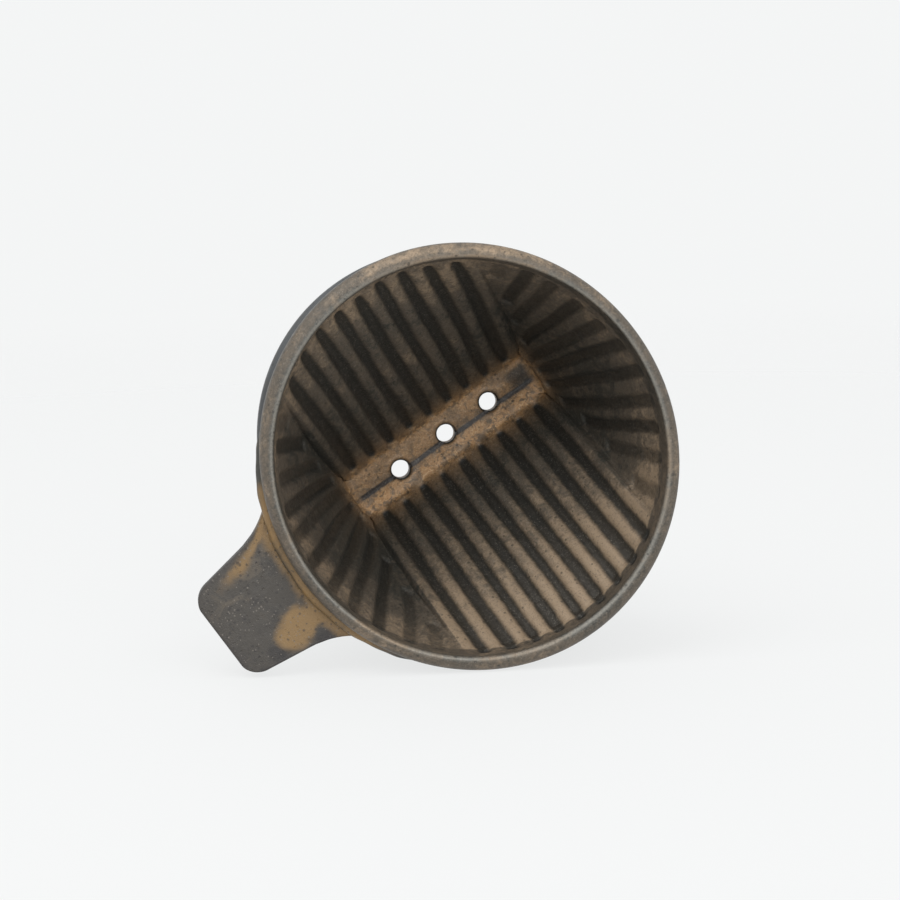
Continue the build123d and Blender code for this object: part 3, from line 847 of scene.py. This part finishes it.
def roll(name, half_x, half_y, level, radius, sweep, dive, replaced, material):
    """A roll of slip: a circle whose radius wanders, carried along an ellipse round the handle's
    side, with ends that thin out and sink into the wall."""
    share = np.linspace(-1, 1, ROLL_STEPS)[:, None]
    angle = HANDLE_TURN + math.radians(sweep) * share
    reach = 1 / np.hypot(np.cos(angle) / half_x, np.sin(angle) / half_y) - dive * share ** 2
    thin = np.sqrt(np.clip(1 - share ** 8, 0, 1)) * 0.97 + 0.03
    lumps = 1 + 0.05 * np.sin(share * 19) + 0.03 * np.sin(share * 43 + 1)
    around = np.arange(ROLL_SIDES) * TAU / ROLL_SIDES
    size = radius * thin * lumps
    out = reach + size * np.cos(around)
    z = level + size * np.sin(around) * 0.95
    points = np.stack([out * np.cos(angle), out * np.sin(angle), z], axis=-1)
    crown = (0.5 + 0.5 * np.sin(around)) * (1 - 0.9 * smooth_step(0.5, 0.85, np.abs(share)))
    shell = Shell(("tone",))
    ids = shell.add(points, {"tone": crown})
    poles = shell.add(points[[0, -1]].mean(axis=1), {"tone": 0.5})
    shell.span(ids, -1)
    for row, pole, step in ((0, poles[0], 1), (-1, poles[1], -1)):
        here, following = ids[row], np.roll(ids[row], -1)
        pair = np.column_stack([here, following])[:, ::step]
        shell.faces.append(np.column_stack([pair, np.full(ROLL_SIDES, pole)]))
    shell.build(name, material, replaced)


def build_seams(material):
    """The roll in the corner below the lip, and the thinner one on the outer cone below the tab."""
    radius = sizes().seam / MM
    roll("seam_above", LIP_X, LIP_Y, HANDLE_TOP + SEAM_RISE, radius, SEAM_SWEEP, SEAM_DIVE,
         ("handle_seam",), material)
    level = HANDLE_BOTTOM - UNDER_DROP
    roll("seam_below", *ellipse_at(OUTSIDE, level), level, UNDER_SHARE * radius, UNDER_SWEEP,
         UNDER_DIVE, ("handle_seam_under",), material)


# ---------------------------------------------------------------- shader node groups

def new_group(name, inputs, outputs):
    """A shader node group with float inputs and outputs, and its two end nodes."""
    tree = bpy.data.node_groups.new(name, "ShaderNodeTree")
    for key, value in inputs.items():
        socket = tree.interface.new_socket(name=key, in_out="INPUT", socket_type="NodeSocketFloat")
        socket.default_value = value
    for key in outputs:
        tree.interface.new_socket(name=key, in_out="OUTPUT", socket_type="NodeSocketFloat")
    return tree, tree.nodes.new("NodeGroupInput"), tree.nodes.new("NodeGroupOutput")


def add(tree, kind, inputs=None, **settings):
    """One node, with its settings and what goes into its inputs: sockets or values."""
    node = tree.nodes.new(kind)
    for key, value in settings.items():
        setattr(node, key, value)
    for key, value in (inputs or {}).items():
        if hasattr(value, "links"):
            tree.links.new(value, node.inputs[key])
        else:
            node.inputs[key].default_value = value
    return node


def maths(tree, operation, a, b=None, clamp=False):
    """A Math node on sockets or numbers."""
    inputs = {0: a} if b is None else {0: a, 1: b}
    return add(tree, "ShaderNodeMath", inputs, operation=operation, use_clamp=clamp).outputs[0]


def ramp(tree, value, low, high):
    """0 to 1 as the value goes from low to high, eased at both ends."""
    inputs = {"Value": value, "From Min": low, "From Max": high}
    node = add(tree, "ShaderNodeMapRange", inputs, interpolation_type="SMOOTHSTEP")
    return node.outputs["Result"]


def object_place(tree):
    """The point in the object's own space, in metres."""
    return tree.nodes.new("ShaderNodeTexCoord").outputs["Object"]


def drift_group():
    """Slow colour drift of a fired glaze: two sizes of warped noise, spread by the contrast."""
    tree, given, out = new_group("Glaze drift", {"Scale": 40.0, "Contrast": 2.0}, ("Value",))
    place = object_place(tree)
    noise = add(tree, "ShaderNodeTexNoise", {
        "Vector": place, "Scale": given.outputs["Scale"], "Detail": 6.0, "Roughness": 0.62,
        "Distortion": 0.8})
    centred = maths(tree, "SUBTRACT", noise.outputs["Fac"], 0.5)
    spread = maths(tree, "MULTIPLY", centred, given.outputs["Contrast"])
    tree.links.new(maths(tree, "ADD", spread, 0.5, clamp=True), out.inputs["Value"])
    return tree


def freckle_group():
    """Iron freckles: small round cells of uneven size, kept where a second noise allows them."""
    tree, given, out = new_group(
        "Iron freckles", {"Scale": 900.0, "Cover": 0.5, "Size": 0.25}, ("Mask",))
    place = object_place(tree)
    cells = add(tree, "ShaderNodeTexVoronoi", {
        "Vector": place, "Scale": given.outputs["Scale"], "Randomness": 1.0})
    noise = add(tree, "ShaderNodeTexNoise", {"Vector": place, "Scale": 210.0, "Detail": 3.0})
    limit = maths(tree, "MULTIPLY", noise.outputs["Fac"], given.outputs["Size"])
    spot = ramp(tree, cells.outputs["Distance"], limit, maths(tree, "MULTIPLY", limit, 0.55))
    lot = add(tree, "ShaderNodeSeparateColor", {"Color": cells.outputs["Color"]})
    chosen = maths(tree, "LESS_THAN", lot.outputs["Red"], given.outputs["Cover"])
    tree.links.new(maths(tree, "MULTIPLY", spot, chosen), out.inputs["Mask"])
    return tree


def skin_group():
    """The skin of a satin glaze: fine grain, a slow orange-peel and small pits, as a height and a
    roughness shift."""
    tree, given, out = new_group("Satin skin", {"Grain": 1.0, "Pits": 0.5}, ("Height", "Rough"))
    place = object_place(tree)
    fine = add(tree, "ShaderNodeTexNoise", {"Vector": place, "Scale": 2600.0, "Detail": 3.0})
    peel = add(tree, "ShaderNodeTexNoise", {"Vector": place, "Scale": 420.0, "Detail": 2.0})
    pits = add(tree, "ShaderNodeTexVoronoi", {"Vector": place, "Scale": 520.0})
    hollow = ramp(tree, pits.outputs["Distance"], 0.02, 0.2)
    pit_depth = maths(tree, "MULTIPLY", hollow, given.outputs["Pits"])
    grain = maths(tree, "MULTIPLY", fine.outputs["Fac"], given.outputs["Grain"])
    peel_part = maths(tree, "MULTIPLY", peel.outputs["Fac"], 1.2)
    height = maths(tree, "ADD", maths(tree, "ADD", grain, peel_part), pit_depth)
    tree.links.new(height, out.inputs["Height"])
    both = maths(tree, "ADD", fine.outputs["Fac"], peel.outputs["Fac"])
    tree.links.new(maths(tree, "SUBTRACT", both, 1.0), out.inputs["Rough"])
    return tree


def shared_groups():
    """The three node groups, made once."""
    makers = {"Glaze drift": drift_group, "Iron freckles": freckle_group, "Satin skin": skin_group}
    return {key: bpy.data.node_groups.get(key) or make() for key, make in makers.items()}


class Finish:
    """A material under way: its tree, its shader and short ways to add nodes."""

    def __init__(self, name):
        self.material = bpy.data.materials.new(name)
        self.material.use_nodes = True
        self.tree = self.material.node_tree
        self.shader = self.tree.nodes["Principled BSDF"]

    def group(self, name, **values):
        """A node of a shared group with this material's own values."""
        return add(self.tree, "ShaderNodeGroup", values, node_tree=shared_groups()[name])

    def drift(self, scale, contrast):
        """Slow drift of the glaze, 0 to 1."""
        return self.group("Glaze drift", Scale=scale, Contrast=contrast).outputs["Value"]

    def freckles(self, scale, cover, size):
        """Freckles, 1 inside them."""
        node = self.group("Iron freckles", Scale=scale, Cover=cover, Size=size)
        return node.outputs["Mask"]

    def skin(self, grain, pits):
        """Height and roughness shift of the satin skin."""
        node = self.group("Satin skin", Grain=grain, Pits=pits)
        return node.outputs["Height"], node.outputs["Rough"]

    def mask(self, name):
        """A mask stored on the mesh."""
        return add(self.tree, "ShaderNodeAttribute", attribute_name=name).outputs["Fac"]

    def mix(self, first, second, share):
        """A colour between two colours, given as sockets or as values."""
        first, second = (v if hasattr(v, "links") else (*v, 1.0) for v in (first, second))
        inputs = {6: first, 7: second, 0: share}
        return add(self.tree, "ShaderNodeMix", inputs, data_type="RGBA").outputs[2]

    def lay(self, base, over, mask, strength):
        """A colour laid over the base where a mask allows it, at a strength."""
        return self.mix(base, over, maths(self.tree, "MULTIPLY", mask, strength))

    def sway(self, value, noise, amount):
        """A value pushed up and down by a noise about its middle."""
        centred = maths(self.tree, "SUBTRACT", noise, 0.5)
        return maths(self.tree, "ADD", value, maths(self.tree, "MULTIPLY", centred, amount))

    def surface(self, colour_out, rough_base, rough_parts, bump, height, metallic=None):
        """Feeds the shader: colour, roughness from a base and weighted masks, and bump."""
        links = self.tree.links
        links.new(colour_out, self.shader.inputs["Base Color"])
        rough = rough_base
        for socket, weight in rough_parts:
            rough = maths(self.tree, "ADD", maths(self.tree, "MULTIPLY", socket, weight), rough)
        rough = maths(self.tree, "MAXIMUM", rough, LEAST_ROUGH)
        links.new(maths(self.tree, "MINIMUM", rough, 1.0), self.shader.inputs["Roughness"])
        node = add(self.tree, "ShaderNodeBump", {
            "Height": height, "Strength": bump, "Distance": BUMP_DISTANCE})
        links.new(node.outputs["Normal"], self.shader.inputs["Normal"])
        if metallic is not None:
            links.new(metallic, self.shader.inputs["Metallic"])
        return self.material


def bronze_material():
    """Manganese-bronze glaze of the bowl: tan where it breaks over the lands and where painted
    light falls on them, black where it pools, gold crystals on the floor."""
    c, f = colours(), Finish("Bronze glaze")
    t = f.tree
    drift, cloud, mottle = f.drift(42.0, 2.6), f.drift(150.0, 2.0), f.drift(620.0, 3.0)
    tone = f.mask("tone")
    for noise, amount in ((drift, 0.50), (cloud, 0.30), (mottle, 0.34)):
        tone = f.sway(tone, noise, amount)
    # Lands from dark through brown to tan along the tone mask, which holds painted light on the +Y
    # side as well as the glaze's drift
    land = f.mix(c.land_dark, c.land_brown, ramp(t, tone, 0.0, 0.34))
    land = f.mix(land, c.land_tan, ramp(t, tone, 0.34, 0.95))
    pooled = ramp(t, f.sway(f.mask("groove"), cloud, 0.35), 0.10, 0.85)
    base = f.lay(land, c.pool, pooled, 0.94)
    # Gold on the floor, with crystals, dark grit and brown patches in it
    gold = maths(t, "MULTIPLY", f.mask("gold"), maths(t, "SUBTRACT", 1.0, pooled))
    cover = maths(t, "ADD", 0.55, maths(t, "MULTIPLY", cloud, 0.6))
    gold = maths(t, "MULTIPLY", gold, cover, clamp=True)
    base = f.mix(base, c.gold, gold)
    for over, scale, contrast, low, high, strength in (
            (CRYSTAL, 1500.0, 4.0, 0.55, 1.0, 0.55),
            (c.land_dark, 520.0, 4.0, 0.45, 0.95, 0.75),
            (c.land_brown, 230.0, 3.6, 0.35, 1.0, 0.7)):
        shown = ramp(t, f.drift(scale, contrast), low, high)
        base = f.lay(base, over, shown, maths(t, "MULTIPLY", gold, strength))
    # The crease: a soft shade, and a thin dark line that wobbles
    base = f.lay(base, c.pool, f.mask("crease"), 0.92)
    across = add(t, "ShaderNodeSeparateXYZ", {"Vector": object_place(t)}).outputs["Y"]
    off_line = f.sway(maths(t, "SUBTRACT", across, CREASE_Y * MM), drift, 0.8 * MM)
    near = ramp(t, maths(t, "ABSOLUTE", off_line), 1.05 * MM, 0.45 * MM)
    base = f.lay(base, CREASE_INK, maths(t, "MULTIPLY", near, f.mask("slot")), 0.9)
    # Pale grey along the lip's crest: a painted highlight, with a lower roughness there as well
    lip_grey = f.mix(c.lip, c.land_tan, ramp(t, drift, 0.35, 0.85))
    base = f.lay(base, lip_grey, f.mask("lip"), 0.65)
    # Fine grain all over, iron freckles and a few painted glints
    grain = f.drift(1900.0, 3.0)
    base = f.lay(base, DUST, ramp(t, grain, 0.55, 1.15), 0.16)
    base = f.lay(base, c.pool, ramp(t, grain, 0.45, 0.0), 0.40)
    base = f.lay(base, c.pool, f.freckles(620.0, 0.30, 0.55), 0.55)
    base = f.lay(base, GLINT, f.freckles(2600.0, 0.10, 0.7), 0.35)
    height, skin = f.skin(grain=0.8, pits=0.5)
    metallic = maths(t, "ADD", 0.12, maths(t, "MULTIPLY", drift, 0.22))
    parts = ((skin, 0.25), (pooled, -0.05), (drift, 0.08), (f.mask("lip"), -0.12))
    return f.surface(base, 0.47, parts, 0.6, height, metallic)


def charcoal_material():
    """Charcoal glaze of the handle, pitted and flecked, with tan breaks and a dark outline."""
    c, f = colours(), Finish("Charcoal glaze")
    t = f.tree
    drift, cloud = f.drift(70.0, 2.4), f.drift(260.0, 2.2)
    both = maths(t, "ADD", drift, maths(t, "MULTIPLY", cloud, 0.6))
    base = f.mix(c.ink, c.charcoal, ramp(t, both, 0.25, 1.0))
    base = f.mix(base, c.land_brown, ramp(t, f.drift(150.0, 3.4), 0.55, 1.25))
    base = f.lay(base, c.tan, ramp(t, f.sway(f.mask("tan"), cloud, 0.35), 0.05, 1.0), 0.92)
    base = f.lay(base, c.ink, f.mask("ink"), 0.8)
    base = f.lay(base, c.ink, f.mask("edge"), 0.55)
    base = f.lay(base, c.ink, f.freckles(780.0, 0.5, 0.7), 0.6)
    base = f.lay(base, PALE_FLECK, f.freckles(1250.0, 0.34, 0.6), 0.6)
    height, skin = f.skin(grain=1.2, pits=1.2)
    return f.surface(base, 0.52, ((skin, 0.3), (drift, 0.1)), 0.8, height)


def saucer_material():
    """The same dark glaze on the saucer, with a bluish bloom and a thin dark rim."""
    c, f = colours(), Finish("Saucer glaze")
    drift = f.drift(48.0, 2.4)
    base = f.mix(c.ink, c.slate, ramp(f.tree, drift, -0.7, 1.4))
    base = f.mix(base, c.land_brown, ramp(f.tree, f.drift(190.0, 2.8), 0.55, 1.3))
    base = f.lay(base, c.ink, f.mask("edge"), 0.4)
    base = f.lay(base, c.ink, f.freckles(700.0, 0.4, 0.6), 0.6)
    height, skin = f.skin(grain=0.7, pits=0.7)
    return f.surface(base, 0.40, ((skin, 0.25), (drift, 0.08)), 0.5, height)


def tan_material():
    """Thin tan glaze over the rolls of slip, browner in the crevices."""
    c, f = colours(), Finish("Tan glaze")
    crest = f.sway(f.mask("tone"), f.drift(90.0, 2.6), 0.7)
    base = f.mix(c.land_dark, c.tan, ramp(f.tree, crest, 0.1, 1.15))
    base = f.lay(base, c.ink, f.freckles(820.0, 0.4, 0.6), 0.5)
    height, skin = f.skin(grain=1.0, pits=0.8)
    return f.surface(base, 0.50, ((skin, 0.3),), 0.7, height)


def clay_material():
    """Bare iron-bearing stoneware of the foot, with dark grog and pale sand in it."""
    c, f = colours(), Finish("Bare clay")
    base = f.mix(c.clay, c.land_brown, ramp(f.tree, f.drift(80.0, 2.0), 0.35, 0.95))
    base = f.lay(base, c.ink, f.freckles(850.0, 0.5, 0.7), 0.7)
    base = f.lay(base, SAND, f.freckles(1400.0, 0.25, 0.6), 0.5)
    height, skin = f.skin(grain=2.2, pits=0.8)
    return f.surface(base, 0.78, ((skin, 0.25),), 1.0, height)


# ---------------------------------------------------------------- stage

CAMERA_PLACE = Vector((29.02, -102.22, 774.41))
CAMERA_TURN = Euler([math.radians(a) for a in (-5.3294, -6.3235, 145.0205)])
LENS = 104.715
SENSOR = 36.0
REST_DOWN = Vector((0.5437, 0.8381, -0.0438))
FLOOR_COLOUR = (0.12, 0.121, 0.121, 1)
FLOOR_GLOW = (0.735, 0.742, 0.742, 1)
FLOOR_FADE = (1.1, 0.35)
FLOOR_SPREAD = 1.3
WORLD_COLOUR = (0.905, 0.915, 0.915, 1)
# Name, way from the middle of the part to the camera's right, up and nearer, side and watts
LIGHTS = (("Key", (-0.45, 1.0, 0.7), 1.1, 9.0), ("Front", (0.4, 0.3, 1.3), 1.0, 9.0))


def floor_material():
    """Pale paper floor: seen from its upper side only, and fading out far from the dripper."""
    material = bpy.data.materials.new("Pale floor")
    material.use_nodes = True
    tree = material.node_tree
    shader, out = tree.nodes["Principled BSDF"], tree.nodes["Material Output"]
    for key, value in (("Base Color", FLOOR_COLOUR), ("Emission Color", FLOOR_GLOW),
                       ("Emission Strength", 1.0), ("Roughness", 0.9),
                       ("Specular IOR Level", 0.1)):
        shader.inputs[key].default_value = value
    place = object_place(tree)
    far = add(tree, "ShaderNodeVectorMath", {0: place}, operation="LENGTH").outputs["Value"]
    back = tree.nodes.new("ShaderNodeNewGeometry").outputs["Backfacing"]
    front = maths(tree, "SUBTRACT", 1.0, back)
    shown = maths(tree, "MULTIPLY", ramp(tree, far, *FLOOR_FADE), front)
    clear = tree.nodes.new("ShaderNodeBsdfTransparent")
    blend = add(tree, "ShaderNodeMixShader", {0: shown, 1: clear.outputs[0], 2: shader.outputs[0]})
    tree.links.new(blend.outputs[0], out.inputs["Surface"])
    return material


def add_floor():
    """The plane that the dripper lies on: square to the way down, and touching its furthest point
    that way."""
    reach = 0.0
    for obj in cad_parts.values():
        co = np.empty(len(obj.data.vertices) * 3, np.float32)
        obj.data.vertices.foreach_get("co", co)
        reach = max(reach, float((co.reshape(-1, 3) @ np.array(REST_DOWN)).max()))
    down = REST_DOWN.normalized()
    centre = down * reach
    side = down.orthogonal().normalized()
    other = down.cross(side)
    corners = [centre + side * (a * FLOOR_SPREAD) + other * (b * FLOOR_SPREAD)
               for a, b in ((-1, -1), (1, -1), (1, 1), (-1, 1))]
    mesh = bpy.data.meshes.new("pale_floor")
    mesh.from_pydata([tuple(p) for p in corners], [], [(0, 1, 2, 3)])
    mesh.update()
    if mesh.polygons[0].normal.dot(down) > 0:
        mesh.flip_normals()
    mesh.materials.append(floor_material())
    floor = link_object("pale_floor", mesh)


def add_light(name, place, size, energy, target):
    """A square soft light at a place in metres that faces the target."""
    data = bpy.data.lights.new(name, "AREA")
    data.shape, data.size, data.energy = "SQUARE", size, energy
    lamp = link_object(name, data)
    lamp.location = place
    lamp.rotation_mode = "QUATERNION"
    lamp.rotation_quaternion = (target - place).to_track_quat("-Z", "Y")


def add_stage():
    """Camera, floor, world and lights."""
    scene = bpy.context.scene
    data = bpy.data.cameras.new("Camera")
    data.lens, data.sensor_width, data.clip_start, data.clip_end = LENS, SENSOR, 0.01, 20
    camera = link_object("Camera", data)
    camera.location = CAMERA_PLACE * MM
    camera.rotation_euler = CAMERA_TURN
    scene.camera = camera
    add_floor()
    world = bpy.data.worlds.new("Pale studio")
    world.use_nodes = True
    back = world.node_tree.nodes["Background"]
    back.inputs["Color"].default_value = WORLD_COLOUR
    back.inputs["Strength"].default_value = 1.0
    scene.world = world
    scene.view_settings.view_transform = "Standard"
    right, up, near = CAMERA_TURN.to_matrix().col
    middle = (cad_box[0] + cad_box[1]) / 2
    for name, way, size, energy in LIGHTS:
        place = middle + right * way[0] + up * way[1] + near * way[2]
        add_light(name, place, size, energy, middle)


# ---------------------------------------------------------------- operators

def finish_named(name, maker):
    """A material by name, made the first time."""
    return bpy.data.materials.get(name) or maker()


class DRIPPER_OT_bowl(bpy.types.Operator):
    """Build the fluted bowl"""

    bl_idname = "dripper.bowl"
    bl_label = "Fluted Bowl"

    def execute(self, context):
        build_bowl(finish_named("Bronze glaze", bronze_material))
        return {"FINISHED"}


class DRIPPER_OT_base(bpy.types.Operator):
    """Build the saucer, its fillet and the foot ring"""

    bl_idname = "dripper.base"
    bl_label = "Saucer and Foot"

    def execute(self, context):
        build_saucer(finish_named("Saucer glaze", saucer_material))
        build_saucer_fillet(finish_named("Saucer glaze", saucer_material))
        build_foot(finish_named("Bare clay", clay_material))
        return {"FINISHED"}


class DRIPPER_OT_handle(bpy.types.Operator):
    """Build the handle tab"""

    bl_idname = "dripper.handle"
    bl_label = "Handle Tab"

    def execute(self, context):
        build_handle(finish_named("Charcoal glaze", charcoal_material))
        return {"FINISHED"}


class DRIPPER_OT_seams(bpy.types.Operator):
    """Build the two rolls of slip along the handle's joint"""

    bl_idname = "dripper.seams"
    bl_label = "Handle Seams"

    def execute(self, context):
        build_seams(finish_named("Tan glaze", tan_material))
        return {"FINISHED"}


class DRIPPER_OT_stage(bpy.types.Operator):
    """Build the camera, the pale floor and the lights"""

    bl_idname = "dripper.stage"
    bl_label = "Stage"

    def execute(self, context):
        add_stage()
        return {"FINISHED"}


class DRIPPER_PT_panel(bpy.types.Panel):
    """Lists the dripper's sizes, colours and pieces"""

    bl_idname = "DRIPPER_PT_panel"
    bl_label = "Dripper"
    bl_space_type = "VIEW_3D"
    bl_region_type = "UI"
    bl_category = "Dripper"

    def draw(self, context):
        layout = self.layout
        for group in (context.scene.dripper_sizes, context.scene.dripper_colours):
            for key in group.__annotations__:
                layout.prop(group, key)
        for operator in OPERATORS:
            layout.operator(operator.bl_idname)


OPERATORS = (DRIPPER_OT_stage, DRIPPER_OT_bowl, DRIPPER_OT_base, DRIPPER_OT_handle,
             DRIPPER_OT_seams)
CLASSES = (DripperSizes, DripperColours, *OPERATORS, DRIPPER_PT_panel)


def register():
    """Registers the classes and hangs the properties on the scene."""
    for cls in CLASSES:
        bpy.utils.register_class(cls)
    bpy.types.Scene.dripper_sizes = PointerProperty(type=DripperSizes)
    bpy.types.Scene.dripper_colours = PointerProperty(type=DripperColours)


def unregister():
    """Takes the properties and the classes away again."""
    del bpy.types.Scene.dripper_sizes
    del bpy.types.Scene.dripper_colours
    for cls in reversed(CLASSES):
        bpy.utils.unregister_class(cls)


def main():
    """Builds everything."""
    register()
    bpy.ops.dripper.stage()
    bpy.ops.dripper.bowl()
    bpy.ops.dripper.base()
    bpy.ops.dripper.handle()
    bpy.ops.dripper.seams()
    bpy.context.view_layer.update()


if __name__ == "__main__":
    main()
